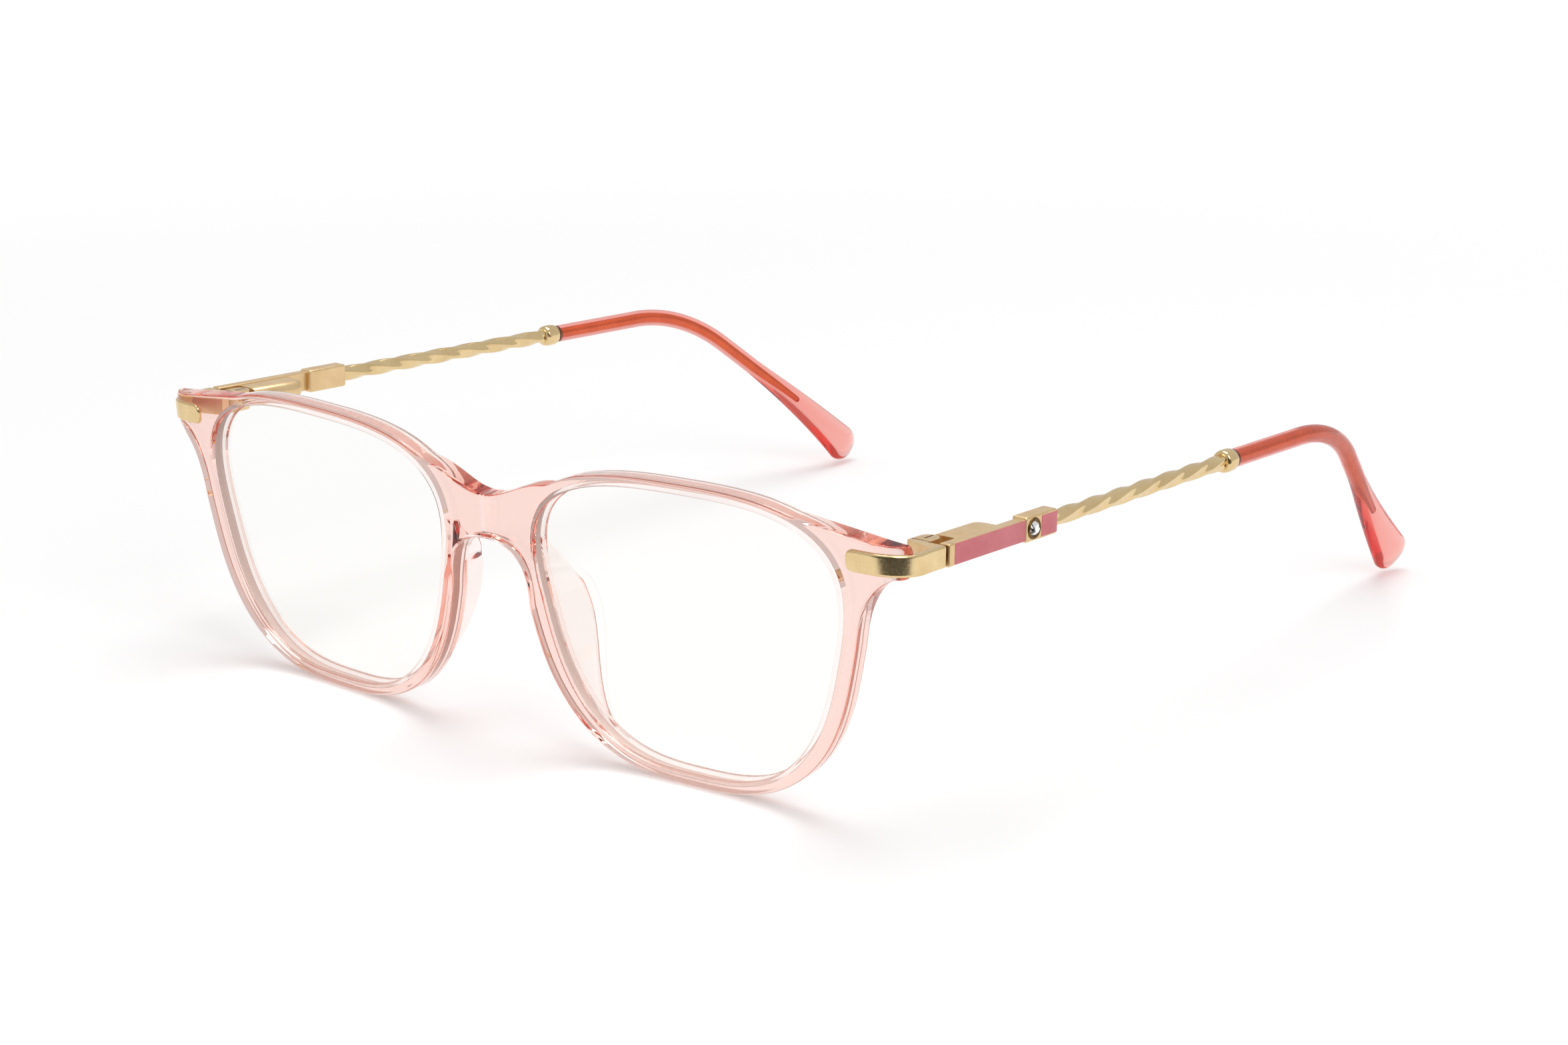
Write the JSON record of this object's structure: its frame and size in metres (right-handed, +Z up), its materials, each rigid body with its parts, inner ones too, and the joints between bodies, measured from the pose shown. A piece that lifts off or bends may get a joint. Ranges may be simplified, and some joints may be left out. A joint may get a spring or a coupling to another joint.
{
  "type": "spectacles",
  "caption": "Spectacles with a clear pink moulded front, clear lenses, gold temples on sprung fold hinges, enamel inlays, set stones, twisted shanks and coral ear tips.",
  "frame": {"origin": "middle of the base of the open spectacles, on the table they stand on", "axes": "+Z up, the front faces -Y, the wearer's left is +X"},
  "size_m": [0.1374, 0.1496, 0.042],
  "materials": {
    "front_pink": "clear polished pink",
    "lens_clear": "clear, coated",
    "gold": "pale gold plate, satin",
    "gold_twist": "pale gold plate, polished",
    "screw_steel": "gold-plated steel",
    "spring_steel": "plain steel",
    "enamel_pink": "gloss enamel",
    "stone_clear": "cut stone with a foiled back",
    "core_metal": "drawn wire",
    "tip_coral": "clear coral acetate"
  },
  "bodies": {
    "front": {"front_frame": "front_pink", "left_lens": "lens_clear", "right_lens": "lens_clear", "left_endpiece": "gold", "left_endpiece_pin": "gold", "left_hinge_screw": "screw_steel", "right_endpiece": "gold", "right_endpiece_pin": "gold", "right_hinge_screw": "screw_steel"},
    "left_slider": {"left_hinge_slider": "spring_steel", "left_spring_nut": "spring_steel"},
    "left_temple": {"left_flex_spring": "spring_steel", "left_spring_bush": "gold", "left_spring_housing": "gold", "left_temple_bar": "gold", "left_long_inlay": "enamel_pink", "left_short_inlay": "enamel_pink", "left_stone": "stone_clear", "left_twisted_shank": "gold_twist", "left_ferrule": "gold", "left_core_wire": "core_metal", "left_temple_tip": "tip_coral"},
    "right_slider": {"right_hinge_slider": "spring_steel", "right_spring_nut": "spring_steel"},
    "right_temple": {"right_flex_spring": "spring_steel", "right_spring_bush": "gold", "right_spring_housing": "gold", "right_temple_bar": "gold", "right_long_inlay": "enamel_pink", "right_short_inlay": "enamel_pink", "right_stone": "stone_clear", "right_twisted_shank": "gold_twist", "right_ferrule": "gold", "right_core_wire": "core_metal", "right_temple_tip": "tip_coral"}
  },
  "joints": [
    {"name": "left_fold", "type": "hinge", "parent": "front", "child": "left_slider", "pos_m": [0.06403, -0.05993, 0.0358], "axis": [0, 0.0387, 0.9993], "range_deg": [-4, 88]},
    {"name": "left_flex", "type": "slide", "parent": "left_slider", "child": "left_temple", "axis": [-0.0349, 0.9986, -0.0387], "range_m": [0, 0.0012], "stiffness_N_per_m": 800, "springref_m": -0.003, "deforming": ["left_flex_spring"]},
    {"name": "right_fold", "type": "hinge", "parent": "front", "child": "right_slider", "pos_m": [-0.06403, -0.05993, 0.0358], "axis": [0, -0.0387, -0.9993], "range_deg": [-4, 80]},
    {"name": "right_flex", "type": "slide", "parent": "right_slider", "child": "right_temple", "axis": [0.0349, 0.9986, -0.0387], "range_m": [0, 0.0012], "stiffness_N_per_m": 800, "springref_m": -0.003, "deforming": ["right_flex_spring"]}
  ]
}
